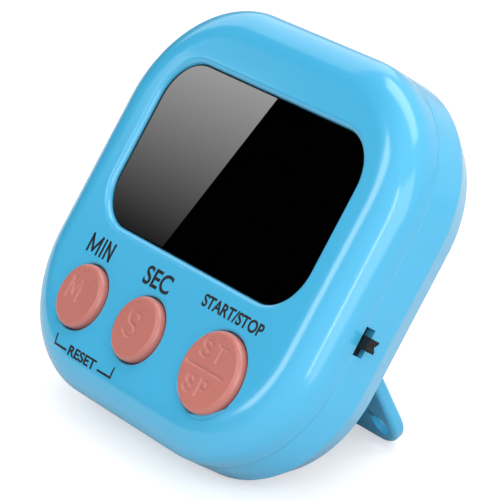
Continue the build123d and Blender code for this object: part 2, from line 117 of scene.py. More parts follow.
# %% [markdown]
# ## Shared surface effects
#
# Every moulded or metal part shows the same few things at different strengths: a very fine
# grain left by the mould, a gloss that handling has made uneven, a trace of dust where it can
# settle, and edges rubbed a little lighter. Each is built once as a node group with named
# inputs, and each material sets its own values. The groups give colours and values only, so the
# shader itself stays in the material, where its gloss can be read.

# %% A helper for node groups
def node_group(name, inputs, outputs):
    """An empty shader group with the named sockets: {name: (type, default)}."""
    group = bpy.data.node_groups.new(name, "ShaderNodeTree")
    for side, sockets in (("INPUT", inputs), ("OUTPUT", outputs)):
        for label, (kind, default) in sockets.items():
            socket = group.interface.new_socket(label, in_out=side, socket_type=kind)
            if default is not None:
                socket.default_value = default
    ends = group.nodes.new("NodeGroupInput"), group.nodes.new("NodeGroupOutput")
    return group, *ends


def add_node(tree, kind, settings=None, **sockets):
    """A node with its settings, and values or links for its named inputs."""
    node = tree.nodes.new(kind)
    for name, value in (settings or {}).items():
        setattr(node, name, value)
    for name, value in sockets.items():
        socket = node.inputs[name.replace("_", " ")]
        if isinstance(value, bpy.types.NodeSocket):
            tree.links.new(value, socket)
        else:
            socket.default_value = value
    return node


def mapped(tree, value, low, high, to_low, to_high):
    """The value carried from one range to another, held at its ends."""
    node = add_node(tree, "ShaderNodeMapRange", Value=value)
    for label, number in (("From Min", low), ("From Max", high), ("To Min", to_low), ("To Max", to_high)):
        node.inputs[label].default_value = number
    return node.outputs["Result"]


# %% Mould grain
FLOAT, COLOUR, VECTOR = "NodeSocketFloat", "NodeSocketColor", "NodeSocketVector"
grain, start, end = node_group(
    "Mould grain",
    {"Vector": (VECTOR, None), "Grain size": (FLOAT, 0.0003), "Waviness": (FLOAT, 0.3)},
    {"Height": (FLOAT, None)},
)
density = add_node(grain, "ShaderNodeMath", {"operation": "DIVIDE"})
density.inputs[0].default_value = 1.0
grain.links.new(start.outputs["Grain size"], density.inputs[1])
fine = add_node(
    grain, "ShaderNodeTexNoise", Vector=start.outputs["Vector"], Scale=density.outputs[0], Detail=2.0
)
broad = add_node(grain, "ShaderNodeTexNoise", Vector=start.outputs["Vector"], Scale=90.0, Detail=1.0)
waves = add_node(grain, "ShaderNodeMath", {"operation": "MULTIPLY"})
grain.links.new(broad.outputs["Fac"], waves.inputs[0])
grain.links.new(start.outputs["Waviness"], waves.inputs[1])
total = add_node(grain, "ShaderNodeMath", {"operation": "ADD"})
grain.links.new(fine.outputs["Fac"], total.inputs[0])
grain.links.new(waves.outputs[0], total.inputs[1])
grain.links.new(total.outputs[0], end.inputs["Height"])
print(grain.name, len(grain.nodes), "nodes")

# %% Handling marks
handling, start, end = node_group(
    "Handling marks",
    {"Vector": (VECTOR, None), "Roughness": (FLOAT, 0.3), "Spread": (FLOAT, 0.08)},
    {"Roughness": (FLOAT, None)},
)
smudges = add_node(handling, "ShaderNodeTexNoise", Vector=start.outputs["Vector"], Scale=55.0, Detail=3.0)
hairlines = add_node(
    handling, "ShaderNodeTexNoise", Vector=start.outputs["Vector"], Scale=700.0, Detail=1.0, Distortion=1.2
)
mark_mix = add_node(handling, "ShaderNodeMath", {"operation": "MULTIPLY_ADD"})
handling.links.new(hairlines.outputs["Fac"], mark_mix.inputs[0])
mark_mix.inputs[1].default_value = 0.35
handling.links.new(smudges.outputs["Fac"], mark_mix.inputs[2])
evenly = mapped(handling, mark_mix.outputs[0], 0.35, 1.0, -0.5, 0.5)
marked = add_node(handling, "ShaderNodeMath", {"operation": "MULTIPLY_ADD", "use_clamp": True})
handling.links.new(evenly, marked.inputs[0])
handling.links.new(start.outputs["Spread"], marked.inputs[1])
handling.links.new(start.outputs["Roughness"], marked.inputs[2])
handling.links.new(marked.outputs[0], end.inputs["Roughness"])
print(handling.name, len(handling.nodes), "nodes")

# %% Tone: slow colour change, rubbed edges and dust
tone, start, end = node_group(
    "Tone",
    {
        "Vector": (VECTOR, None),
        "Colour": (COLOUR, (0.5, 0.5, 0.5, 1)),
        "Variation": (FLOAT, 0.05),
        "Edge radius": (FLOAT, 0.0003),
        "Edge wear": (FLOAT, 0.1),
        "Dust": (FLOAT, 0.03),
    },
    {"Colour": (COLOUR, None)},
)
cloud = add_node(tone, "ShaderNodeTexNoise", Vector=start.outputs["Vector"], Scale=30.0, Detail=2.0)
cloud_swing = mapped(tone, cloud.outputs["Fac"], 0.3, 0.7, -1.0, 1.0)
brightness = add_node(tone, "ShaderNodeMath", {"operation": "MULTIPLY_ADD"})
tone.links.new(cloud_swing, brightness.inputs[0])
tone.links.new(start.outputs["Variation"], brightness.inputs[1])
brightness.inputs[2].default_value = 1.0
swayed = add_node(tone, "ShaderNodeHueSaturation", Value=brightness.outputs[0], Color=start.outputs["Colour"])

# The rounded normal leaves the true one only near an edge, and that difference is the mask.
true_normal = add_node(tone, "ShaderNodeNewGeometry")
round_normal = add_node(tone, "ShaderNodeBevel", {"samples": 4}, Radius=start.outputs["Edge radius"])
likeness = add_node(tone, "ShaderNodeVectorMath", {"operation": "DOT_PRODUCT"})
tone.links.new(true_normal.outputs["Normal"], likeness.inputs[0])
tone.links.new(round_normal.outputs["Normal"], likeness.inputs[1])
edge_mask = mapped(tone, likeness.outputs["Value"], 0.96, 0.80, 0.0, 1.0)
patchy = add_node(tone, "ShaderNodeTexNoise", Vector=start.outputs["Vector"], Scale=400.0, Detail=2.0)
broken_mask = mapped(tone, patchy.outputs["Fac"], 0.35, 0.65, 0.0, 1.0)
wear = add_node(tone, "ShaderNodeMath", {"operation": "MULTIPLY"})
tone.links.new(edge_mask, wear.inputs[0])
tone.links.new(broken_mask, wear.inputs[1])
wear_amount = add_node(tone, "ShaderNodeMath", {"operation": "MULTIPLY"})
tone.links.new(wear.outputs[0], wear_amount.inputs[0])
tone.links.new(start.outputs["Edge wear"], wear_amount.inputs[1])
rubbed = add_node(tone, "ShaderNodeMix", {"data_type": "RGBA"})
tone.links.new(wear_amount.outputs[0], rubbed.inputs["Factor"])
tone.links.new(swayed.outputs["Color"], rubbed.inputs[6])
rubbed.inputs[7].default_value = (0.85, 0.88, 0.9, 1)

# Dust lies on what faces up, in specks.
facing_up = add_node(tone, "ShaderNodeSeparateXYZ")
tone.links.new(true_normal.outputs["Normal"], facing_up.inputs[0])
settled = mapped(tone, facing_up.outputs["Z"], 0.2, 1.0, 0.0, 1.0)
specks = add_node(tone, "ShaderNodeTexNoise", Vector=start.outputs["Vector"], Scale=2600.0, Detail=2.0)
speck_mask = mapped(tone, specks.outputs["Fac"], 0.62, 0.72, 0.0, 1.0)
dust_mask = add_node(tone, "ShaderNodeMath", {"operation": "MULTIPLY"})
tone.links.new(settled, dust_mask.inputs[0])
tone.links.new(speck_mask, dust_mask.inputs[1])
dust_amount = add_node(tone, "ShaderNodeMath", {"operation": "MULTIPLY"})
tone.links.new(dust_mask.outputs[0], dust_amount.inputs[0])
tone.links.new(start.outputs["Dust"], dust_amount.inputs[1])
dusty = add_node(tone, "ShaderNodeMix", {"data_type": "RGBA"})
tone.links.new(dust_amount.outputs[0], dusty.inputs["Factor"])
tone.links.new(rubbed.outputs[2], dusty.inputs[6])
dusty.inputs[7].default_value = (0.7, 0.68, 0.65, 1)
tone.links.new(dusty.outputs[2], end.inputs["Colour"])
print(tone.name, len(tone.nodes), "nodes")

# %% [markdown]
# ## Finishes
#
# One function wires the three groups to a Principled shader. What differs between glossy case
# plastic, soft key plastic, nickel and foam is then a short list of values: colour, roughness,
# metal or not, a clear coat, and how deep and how coarse the grain is.

# %% A finish from values
def finish(name, colour, roughness, **look):
    """A material from the shared groups. Constants go straight to the shader's own sockets."""
    material = bpy.data.materials.new(name)
    material.use_nodes = True
    tree = material.node_tree
    shader = tree.nodes["Principled BSDF"]
    coordinates = tree.nodes.new("ShaderNodeTexCoord").outputs["Object"]
    toned = tree.nodes.new("ShaderNodeGroup")
    toned.node_tree = tone
    tree.links.new(coordinates, toned.inputs["Vector"])
    toned.inputs["Colour"].default_value = (*colour, 1)
    for label in ("Variation", "Edge radius", "Edge wear", "Dust"):
        key = label.lower().replace(" ", "_")
        if key in look:
            toned.inputs[label].default_value = look[key]
    tree.links.new(toned.outputs["Colour"], shader.inputs["Base Color"])
    marks = tree.nodes.new("ShaderNodeGroup")
    marks.node_tree = handling
    tree.links.new(coordinates, marks.inputs["Vector"])
    marks.inputs["Roughness"].default_value = roughness
    marks.inputs["Spread"].default_value = look.get("spread", 0.06)
    tree.links.new(marks.outputs["Roughness"], shader.inputs["Roughness"])
    moulded = tree.nodes.new("ShaderNodeGroup")
    moulded.node_tree = grain
    tree.links.new(coordinates, moulded.inputs["Vector"])
    moulded.inputs["Grain size"].default_value = look.get("grain_size", 0.0003)
    moulded.inputs["Waviness"].default_value = look.get("waviness", 0.3)
    bump = tree.nodes.new("ShaderNodeBump")
    bump.inputs["Strength"].default_value = look.get("grain", 0.03)
    bump.inputs["Distance"].default_value = look.get("grain_depth", 0.00002)
    tree.links.new(moulded.outputs["Height"], bump.inputs["Height"])
    tree.links.new(bump.outputs["Normal"], shader.inputs["Normal"])
    for label, value in look.get("shader", {}).items():
        shader.inputs[label].default_value = value
    return material


# %% Plastics
finishes = {
    "case_blue": finish(
        "Glossy blue moulding", (0.055, 0.385, 0.63), 0.20,
        variation=0.02, edge_wear=0.05, edge_radius=0.00025, dust=0.03,
        grain=0.05, grain_size=0.0004, spread=0.05,
        shader={"Coat Weight": 0.35, "Coat Roughness": 0.06, "IOR": 1.5},
    ),
    "button_salmon": finish(
        "Salmon key moulding", (0.45, 0.15, 0.125), 0.28,
        variation=0.05, edge_wear=0.02, edge_radius=0.0003, dust=0.01,
        grain=0.15, grain_size=0.00035, grain_depth=0.00003, spread=0.03,
        shader={"IOR": 1.48, "Coat Weight": 0.1, "Coat Roughness": 0.2},
    ),
    "window_black": finish(
        "Black display window", (0.0003, 0.0003, 0.0004), 0.004,
        variation=0.0, edge_wear=0.0, dust=0.0, grain=0.0, spread=0.004,
        shader={"IOR": 1.5},
    ),
    "switch_black": finish(
        "Black switch knob", (0.004, 0.004, 0.0045), 0.5,
        variation=0.1, edge_wear=0.04, edge_radius=0.00015, dust=0.03, grain=0.3, grain_size=0.00015,
        shader={"Specular IOR Level": 0.3},
    ),
    "stem_black": finish("Black key stem", (0.012, 0.012, 0.013), 0.45, edge_wear=0.1, grain=0.2),
    "cell_wrap": finish(
        "Cell sleeve", (0.03, 0.035, 0.04), 0.28, variation=0.1, edge_wear=0.2, dust=0.02,
        grain=0.1, grain_size=0.0008, shader={"Coat Weight": 0.6, "Coat Roughness": 0.12},
    ),
    "wire_red": finish("Red wire cover", (0.45, 0.015, 0.012), 0.4, grain=0.15, dust=0.05),
    "wire_black": finish("Black wire cover", (0.012, 0.012, 0.012), 0.42, grain=0.15, dust=0.05),
    "epoxy_black": finish(
        "Black epoxy", (0.006, 0.006, 0.007), 0.22, waviness=2.0, grain=0.3, grain_size=0.0008
    ),
    "chip_black": finish("Resistor body", (0.01, 0.01, 0.011), 0.5, grain=0.3, grain_size=0.0001),
    "chip_tan": finish(
        "Capacitor ceramic", (0.36, 0.22, 0.11), 0.5, variation=0.12, grain=0.3, grain_size=0.0001
    ),
    "board_green": finish(
        "Board lacquer", (0.01, 0.085, 0.035), 0.3, variation=0.2, grain=0.3, grain_size=0.0006,
        shader={"Coat Weight": 0.5, "Coat Roughness": 0.15},
    ),
    "foam": finish(
        "Grey foam", (0.09, 0.09, 0.095), 0.95, variation=0.3,
        grain=1.0, grain_size=0.0003, grain_depth=0.0002,
    ),
    "elastomer": finish("Connector rubber", (0.4, 0.15, 0.2), 0.6, variation=0.1, grain=0.2),
}
print(len(finishes), "plastic and rubber finishes")

# %% Metals, ceramics and glass
finishes.update({
    "bright_steel": finish(
        "Bright steel", (0.62, 0.62, 0.63), 0.25, grain=0.1, edge_wear=0.0, shader={"Metallic": 1.0}
    ),
    "screw_steel": finish(
        "Screw steel", (0.45, 0.44, 0.42), 0.35, variation=0.1, grain=0.2, edge_wear=0.1,
        edge_radius=0.0001, shader={"Metallic": 1.0},
    ),
    "magnet_nickel": finish(
        "Nickel on magnets", (0.66, 0.62, 0.56), 0.22, variation=0.04, edge_wear=0.1, grain=0.12,
        grain_size=0.0006, shader={"Metallic": 1.0},
    ),
    "contact_nickel": finish(
        "Nickel contacts", (0.68, 0.65, 0.58), 0.28, variation=0.05, grain=0.1, shader={"Metallic": 1.0}
    ),
    "buzzer_brass": finish(
        "Brass plate", (0.72, 0.48, 0.18), 0.3, variation=0.1, grain=0.15, shader={"Metallic": 1.0}
    ),
    "buzzer_white": finish("White ceramic", (0.72, 0.71, 0.68), 0.35, variation=0.05, grain=0.15),
    "reflector": finish(
        "Silver film", (0.7, 0.71, 0.72), 0.45, variation=0.05, grain=0.4, grain_size=0.0002,
        shader={"Metallic": 0.8},
    ),
    "lcd_glass": finish(
        "Display glass", (0.55, 0.6, 0.55), 0.05, variation=0.02, grain=0.01, edge_wear=0.0,
        shader={"Transmission Weight": 0.85, "IOR": 1.5},
    ),
})
ink = finish("Black printing ink", (0.004, 0.004, 0.005), 0.42, grain=0.5, grain_size=0.00012, edge_wear=0.0)
print(len(finishes), "finishes in all")

# %% [markdown]
# ## Making and placing a piece
#
# A new piece is drawn on the board in millimetres. When it is finished, its mesh is laid on the
# leaning face, so the object itself stays at the origin, unturned. Edges sharper than the given
# angle stay crisp, and everything else is shaded round.

# %% Finish a mesh as a piece
def place_piece(name, mesh, body, slot, replaced=(), material=None, sharp=radians(30)):
    """The mesh, in the row frame already, as a shaded piece that rides on a body."""
    mesh.shade_smooth()
    mesh.set_sharp_from_angle(angle=sharp)
    piece = bpy.data.objects.new(name, mesh)
    bpy.context.scene.collection.objects.link(piece)
    mesh.materials.clear()
    mesh.materials.append(material or finishes[slot])
    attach(piece, body)
    if replaced:
        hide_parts(*replaced)
    return piece


def piece_from_board(name, shape, body, slot, replaced=(), material=None, sharp=radians(30)):
    """A bmesh drawn on the board becomes a closed piece on the timer."""
    bmesh.ops.remove_doubles(shape, verts=shape.verts, dist=0.0005)
    bmesh.ops.recalc_face_normals(shape, faces=shape.faces)
    shape.transform(BOARD)
    mesh = bpy.data.meshes.new(name)
    shape.to_mesh(mesh)
    open_edges = sum(1 for edge in shape.edges if not edge.is_manifold)
    shape.free()
    print(name, len(mesh.polygons), "faces,", open_edges, "open edges")
    return place_piece(name, mesh, body, slot, replaced, material, sharp)


# %% [markdown]
# ## Rings that grow into shells
#
# The case, the window and the key holes are all the same kind of shape: a rounded outline
# carried along a profile. The ring is drawn once, as one square face whose corners are
# bevelled round, and then extruded edge by edge. At each step every corner moves along its own
# outline normal, so a rounded corner keeps its centre while its radius shrinks or grows, which
# is how a real shell wall runs round a corner.

# %% Outlines and rings
Outline = namedtuple("Outline", "width height radius centre steps")


def shifted(point, shape, inset, out):
    """The place of an outline's point when the outline is moved in by inset and out of the face."""
    core = Vector((shape.width / 2 - shape.radius, shape.height / 2 - shape.radius))
    from_middle = Vector(point[:2]) - Vector(shape.centre)
    heart = Vector([max(-core[i], min(core[i], from_middle[i])) for i in range(2)])
    direction = (from_middle - heart).normalized()
    flat = Vector(shape.centre) + heart + direction * (shape.radius - inset)
    return Vector((*flat, out))


def draw_ring(board, shape, inset, out):
    """A closed ring of edges round an outline."""
    if shape.radius * 2 >= shape.height - 0.001:
        made = bmesh.ops.create_circle(
            board, segments=4 * shape.steps, radius=shape.radius - inset, cap_ends=True
        )
    else:
        made = bmesh.ops.create_grid(board, x_segments=1, y_segments=1, size=0.5)
        size = (shape.width - 2 * inset, shape.height - 2 * inset, 1)
        bmesh.ops.scale(board, vec=size, verts=made["verts"])
    bmesh.ops.translate(board, vec=(*shape.centre, out), verts=made["verts"])
    if len(made["verts"]) == 4:
        made = bmesh.ops.bevel(
            board, geom=made["verts"], offset=shape.radius - inset, offset_type="OFFSET",
            segments=shape.steps, profile=0.5, affect="VERTICES", material=-1,
        )
    face = made["verts"][0].link_faces[0]
    ring = list(face.edges)
    bmesh.ops.delete(board, geom=[face], context="FACES_ONLY")
    return ring


def grow(board, ring, shape, profile):
    """Extrudes a ring through the profile's (inset, out) points, and returns the last ring."""
    for inset, out in profile:
        grown = bmesh.ops.extrude_edge_only(board, edges=ring)["geom"]
        for part in grown:
            if isinstance(part, bmesh.types.BMVert):
                part.co = shifted(part.co, shape, inset, out)
        ring = [part for part in grown if isinstance(part, bmesh.types.BMEdge) and part.is_boundary]
    return ring


def close_flat(board, *rings):
    """Fills the flat region between an outer ring and the rings inside it."""
    edges = [edge for ring in rings for edge in ring]
    bmesh.ops.triangle_fill(board, use_beauty=True, use_dissolve=False, edges=edges)


def arch(middle, size, first, last, steps=10):
    """Points along part of an ellipse; angles are in degrees, 0 to the right and 90 up."""
    angles = [radians(first + (last - first) * step / steps) for step in range(steps + 1)]
    return [(middle[0] + size[0] * cos(a), middle[1] + size[1] * sin(a)) for a in angles]


def arc(middle, radius, first, last, steps):
    """Points along part of a circle, as arch gives them."""
    return arch(middle, (radius, radius), first, last, steps)


print("ring tools ready")

# %% [markdown]
# ## Front cover
#
# The front cover is a dish: a flat face that rolls over a generous round into short sides. The
# round is a quarter of an ellipse, wider than it is deep, so the highlights on it run long and
# soft. The window sits just below the face inside a narrow rounded lip, and each key comes up
# through a hole with a small round rim. Behind the face are the ledge that the window rests on,
# a collar round each key, and the posts that the screws pull on. A narrow flat ring is drawn
# beside every round, so that the big flat face is shaded dead flat and the round starts exactly
# where it should.

# %% Sizes of the front cover
wall = 1.8
front_round = 4.9
corner_radius = 22.6
seam_depth = 7.4
seam_round = 0.2
roll_width = 6.6
flat_ring = 0.08
ceiling = -wall
window_low, window_high = board_box("display_window")
lens_front, lens_back = window_high.z, window_low.z
window_radius = 8.0
window = Outline(
    window_high.x - window_low.x, window_high.y - window_low.y, window_radius,
    ((window_low.x + window_high.x) / 2, (window_low.y + window_high.y) / 2), 14,
)
case = Outline(case_width, case_height, corner_radius, (0, 0), 28)
flange = 1.0
keys = {}
for key in ("minute", "second", "start_stop"):
    low, high = board_box(key + "_button")
    keys[key] = Outline(
        high.x - low.x - 2 * flange, high.y - low.y - 2 * flange, (high.x - low.x) / 2 - flange,
        ((low.x + high.x) / 2, (low.y + high.y) / 2), 24,
    )
    print(key, "key radius", round(keys[key].radius, 2), "at", [round(v, 2) for v in keys[key].centre])

# %% Draw the front cover
front = bmesh.new()
inner_round = front_round - wall
seam = -seam_depth
outer_profile = (
    arc((front_round, -front_round), inner_round, 90, 180, 8)[1:]
    + [(wall, seam)]
    + arc((seam_round, seam + seam_round), seam_round, 270, 180, 3)
    + arch((roll_width, -front_round), (roll_width, front_round), 180, 90, 18)
    + [(roll_width + flat_ring, 0)]
)
inside_edge = draw_ring(front, case, front_round, ceiling)
face_edge = grow(front, inside_edge, case, outer_profile)

lip_width = 1.0
lens_gap = 0.05
lip_centre = (-lip_width - lens_gap, lens_front)
lip = arch(lip_centre, (lip_width, -lens_front), 90, 0, 12)
ledge = 1.6
ledge_back = lens_back - 1.0
window_profile = lip + [
    (-lens_gap, lens_back), (ledge, lens_back), (ledge, ledge_back), (-ledge, ledge_back), (-ledge, ceiling),
]
lip_edge = draw_ring(front, window, -lip_width - lens_gap - flat_ring, 0)
window_inside = grow(front, lip_edge, window, window_profile)
print("lip", lip_width, "mm wide")

# %% Draw the key holes and the posts
hole_gap = 0.25
rim_round = 0.45
collar = 1.25
collar_depth = 3.0
hole_edges, collar_edges = [], []
for shape in keys.values():
    rim = arc((-hole_gap - rim_round, -rim_round), rim_round, 90, 0, 5)
    hole_edges.append(draw_ring(front, shape, -hole_gap - rim_round - flat_ring, 0))
    profile = rim + [(-hole_gap, -collar_depth), (-collar, -collar_depth), (-collar, ceiling)]
    collar_edges.append(grow(front, hole_edges[-1], shape, profile))

post = Outline(3.6, 3.6, 1.8, (0, 0), 5)
screw_low, screw_high = board_box("case_screws")
head = 1.9
upper_post_x = 24.5
post_end, post_wall = -8.9, 0.8
post_places = [
    (x, y)
    for y, side in ((screw_high.y - head, upper_post_x), (screw_low.y + head, screw_high.x - head))
    for x in (-side, side)
]
post_edges = []
for place in post_places:
    shape = post._replace(centre=place)
    post_edges.append(draw_ring(front, shape, 0, ceiling))
    tip = grow(front, post_edges[-1], shape, [(0, post_end), (post_wall, post_end), (post_wall, ceiling - 1)])
    close_flat(front, tip)

close_flat(front, face_edge, lip_edge, *hole_edges)
close_flat(front, inside_edge, window_inside, *collar_edges, *post_edges)
piece_from_board("front_shell", front, "case", "case_blue", ["front_cover"])

# %% [markdown]
# ## Display window
#
# The window is a thin pane of black acrylic. What the eye reads is its polished front and the
# fine bevel round it that catches the light, so it is one ring grown through a small rounded
# edge and closed flat on both sides.

# %% Draw the display window
pane = bmesh.new()
pane_round = 0.15
back_edge = draw_ring(pane, window, pane_round, lens_back)
pane_profile = (
    arc((pane_round, lens_back + pane_round), pane_round, 270, 180, 3)[1:]
    + arc((pane_round, lens_front - pane_round), pane_round, 180, 90, 4)
    + [(pane_round + flat_ring, lens_front)]
)
front_edge = grow(pane, back_edge, window, pane_profile)
close_flat(pane, back_edge)
close_flat(pane, front_edge)
piece_from_board("display_pane", pane, "case", "window_black", ["display_window"])

# %% [markdown]
# ## Keys
#
# Each key is a short round cap with a well rounded rim, and a letter sunk softly into its top:
# M for minutes, S for seconds, and on the large one ST over a bar over SP. A letter is a few
# strokes, straight or arched. The top is drawn as many thin rings, and every corner of them
# sinks by how near it is to a stroke, so the groove has the soft shoulders of a moulded one.

# %% Letters as strokes
LETTERS = {
    "M": [[(-0.42, -0.5), (-0.38, 0.5), (0, -0.28), (0.38, 0.5), (0.42, -0.5)]],
    "S": [arch((0, 0.25), (0.3, 0.25), 20, 270) + arch((0, -0.25), (0.32, 0.25), 90, -160)[1:]],
    "T": [[(-0.34, 0.5), (0.34, 0.5)], [(0, 0.5), (0, -0.5)]],
    "P": [[(-0.25, -0.5), (-0.25, 0.5)] + arch((0.05, 0.24), (0.27, 0.26), 90, -90) + [(-0.25, -0.02)]],
    "-": [[(-1.25, 0), (1.25, 0)]],
}


def strokes(letter, height, place):
    """The letter's strokes on the board, scaled to a height."""
    return [
        [Vector((place[0] + height * x, place[1] + height * y)) for x, y in line]
        for line in LETTERS[letter]
    ]


def distance_to(point, lines):
    """How far a point lies from the nearest stroke."""
    nearest = 1e9
    for line in lines:
        for start_point, end_point in zip(line, line[1:]):
            along = end_point - start_point
            share = (point - start_point).dot(along) / along.length_squared
            nearest = min(nearest, (point - start_point - along * max(0, min(1, share))).length)
    return nearest


print(len(LETTERS), "stroke letters")

# %% Draw the keys
key_letters = {
    "minute": [("M", 3.5, (-1.3, 0.7))],
    "second": [("S", 4.2, (-0.9, 0.4))],
    "start_stop": [("S", 2.7, (-2.7, 3.2)), ("T", 2.6, (0.9, 3.2)), ("-", 3.7, (-0.8, 0)),
                   ("S", 2.7, (-2.7, -2.9)), ("P", 2.7, (0.6, -2.9))],
}
groove_half = 0.43
groove_depth = 0.26
key_round = 0.9
flange_front, flange_back = -3.1, -4.0
ring_spacing = 0.12
top_skin = 0.05
for key, shape in keys.items():
    top = board_box(key + "_button")[1].z
    cap = bmesh.new()
    smooth = shape._replace(steps=56)
    bottom = draw_ring(cap, smooth, -flange, flange_back)
    profile = [(-flange, flange_front), (0, flange_front)]
    profile += arc((key_round, top - key_round), key_round, 180, 90, 10)
    rings = int((shape.radius - key_round) / ring_spacing)
    profile += [(key_round + ring_spacing * step, top) for step in range(1, rings)]
    centre_edge = grow(cap, bottom, smooth, profile)
    close_flat(cap, bottom)
    pole = {corner for edge in centre_edge for corner in edge.verts}
    bmesh.ops.pointmerge(cap, verts=list(pole), merge_co=(*shape.centre, top))
    lines = [
        line
        for letter, height, place in key_letters[key]
        for line in strokes(letter, height, Vector(place) + Vector(shape.centre))
    ]
    for corner in cap.verts:
        if corner.co.z > top - top_skin:
            nearness = 1 - distance_to(corner.co.xy, lines) / groove_half
            if nearness > 0:
                corner.co.z -= groove_depth * (3 * nearness ** 2 - 2 * nearness ** 3)
    replaced = [key + "_button"]
    piece_from_board(key + "_cap", cap, key + "_key", "button_salmon", replaced, sharp=radians(60))

# %% [markdown]
# ## Smoothing a node's own shape
#
# Some pieces already have the right shape in the engineering model, only cut into loose flat
# triangles: the back cover, the door, the stand, the switch knob, the cell's sleeve, the magnets
# and the case screws. A copy of each is merged into one skin, shaded round except at its real
# edges, and given weighted normals, which keep its large flats flat. The node itself is hidden
# and left as it is. The small parts inside the case keep their own mesh, and only get a finish.

# %% Copy, merge and smooth a node
def smoothed(node, name, body, slot, sharp=radians(28)):
    """A merged copy of a node, shaded round, in place of it."""
    shape = bmesh.new()
    shape.from_mesh(nodes[node].data)
    bmesh.ops.remove_doubles(shape, verts=shape.verts, dist=0.000002)
    bmesh.ops.dissolve_degenerate(shape, edges=shape.edges, dist=0.000001)
    mesh = bpy.data.meshes.new(name)
    shape.to_mesh(mesh)
    shape.free()
    piece = place_piece(name, mesh, body, slot, [node], sharp=sharp)
    weighted = piece.modifiers.new("Weighted normals", "WEIGHTED_NORMAL")
    weighted.keep_sharp = True
    weighted.weight = 80
    return piece


slots = {part["node"]: part["material_slot"] for part in frame["record"]["subparts"]}
bodies = frame["record"]["behaviour"]["bodies"]
body_of = {node: body for body, members in bodies.items() for node in members}
print(len(slots), "nodes with a slot")

# %% Smooth the shells and the moving parts
for node, name in (
    ("back_cover", "back_shell"),
    ("battery_door", "battery_lid"),
    ("stand", "stand_leaf"),
    ("side_switch_knob", "switch_slider"),
    ("battery_sleeve", "cell_sleeve"),
    ("magnets", "disc_magnets"),
    ("case_screws", "back_screws"),
):
    smoothed(node, name, body_of[node], slots[node])
print("smoothed copies made")

# %% Finish the nodes that stay
for node, holder in nodes.items():
    if not holder.hide_render:
        holder.data.materials.clear()
        holder.data.materials.append(finishes[slots[node]])
print(sum(not holder.hide_render for holder in nodes.values()), "nodes keep their own mesh")

# %% [markdown]
# ## Printing
#
# The words over the keys are pad printed: a film of black ink a few hundredths of a millimetre
# thick. Blender's own font gives most letter shapes. The text is made a mesh, squeezed to the
# printed width and height, and only then laid on the face. MIN and the brackets have straight
# strokes only, so they are strips of ink between points. The lowest print runs over the start of
# the round edge, so its long edges are first split and its corners are then let down onto it.

# %% Print a word
ink_film = 0.02
ink_step = 0.6
halvings = 4


def drape(drawing):
    """Lowers ink onto the front's roll, where the print runs over the edge of the flat face."""
    bmesh.ops.triangulate(drawing, faces=drawing.faces[:])
    for _ in range(halvings):
        long_edges = [edge for edge in drawing.edges if edge.calc_length() > ink_step]
        bmesh.ops.subdivide_edges(drawing, edges=long_edges, cuts=1)
        bmesh.ops.triangulate(drawing, faces=drawing.faces[:])
    core = (case_width / 2 - corner_radius, case_height / 2 - corner_radius)
    for corner in drawing.verts:
        beyond = [max(0, abs(corner.co[i]) - core[i]) for i in range(2)]
        into_roll = hypot(*beyond) - corner_radius + roll_width
        if into_roll > 0:
            corner.co.z -= front_round * (1 - sqrt(1 - (into_roll / roll_width) ** 2))


def print_word(name, text, low, high, weight):
    """A word of ink that fills the box from low to high on the board."""
    drawing = bpy.data.curves.new(name, "FONT")
    drawing.body = text
    drawing.offset = weight
    drawing.resolution_u = 8
    holder = bpy.data.objects.new(name, drawing)
    mesh = bpy.data.meshes.new_from_object(holder)
    bpy.data.objects.remove(holder)
    word = bmesh.new()
    word.from_mesh(mesh)
    bpy.data.meshes.remove(mesh)
    bmesh.ops.remove_doubles(word, verts=word.verts, dist=0.0001)
    left, right = (f(corner.co.x for corner in word.verts) for f in (min, max))
    foot, crown = (f(corner.co.y for corner in word.verts) for f in (min, max))
    scale = Vector(((high[0] - low[0]) / (right - left), (high[1] - low[1]) / (crown - foot), 1))
    bmesh.ops.translate(word, vec=(-left, -foot, 0), verts=word.verts)
    bmesh.ops.scale(word, vec=scale, verts=word.verts)
    bmesh.ops.translate(word, vec=(*low, 0.0), verts=word.verts)
    raised = bmesh.ops.extrude_face_region(word, geom=word.faces[:])["geom"]
    film = [part for part in raised if isinstance(part, bmesh.types.BMVert)]
    bmesh.ops.translate(word, vec=(0, 0, ink_film), verts=film)
    drape(word)
    piece_from_board(name, word, "case", "window_black", material=ink)


print_word("print_sec", "SEC", (-7.65, -14.1), (-0.3, -10.8), 0.02)
print_word("print_start_stop", "START/STOP", (8.2, -12.6), (24.4, -10.4), 0.03)
print_word("print_reset", "RESET", (-16.2, -30.8), (-8.1, -29.0), 0.03)

# %% Print with straight strokes: MIN and the brackets beside RESET
def print_lines(name, lines, width):
    """Printed lines through points: each run is a flat strip of ink."""
    line = bmesh.new()
    runs = [run for points in lines for run in zip(points, points[1:])]
    for first, last in runs:
        along = Vector(last) - Vector(first)
        across = Vector((-along.y, along.x)).normalized() * width / 2
        push = along.normalized() * width / 2
        corners = [
            Vector(first) - push - across, Vector(last) + push - across,
            Vector(last) + push + across, Vector(first) - push + across,
        ]
        strip = line.faces.new([line.verts.new((*corner, 0)) for corner in corners])
        raised = bmesh.ops.extrude_face_region(line, geom=[strip])["geom"]
        film = [part for part in raised if isinstance(part, bmesh.types.BMVert)]
        bmesh.ops.translate(line, vec=(0, 0, ink_film), verts=film)
    drape(line)
    piece_from_board(name, line, "case", "window_black", material=ink)


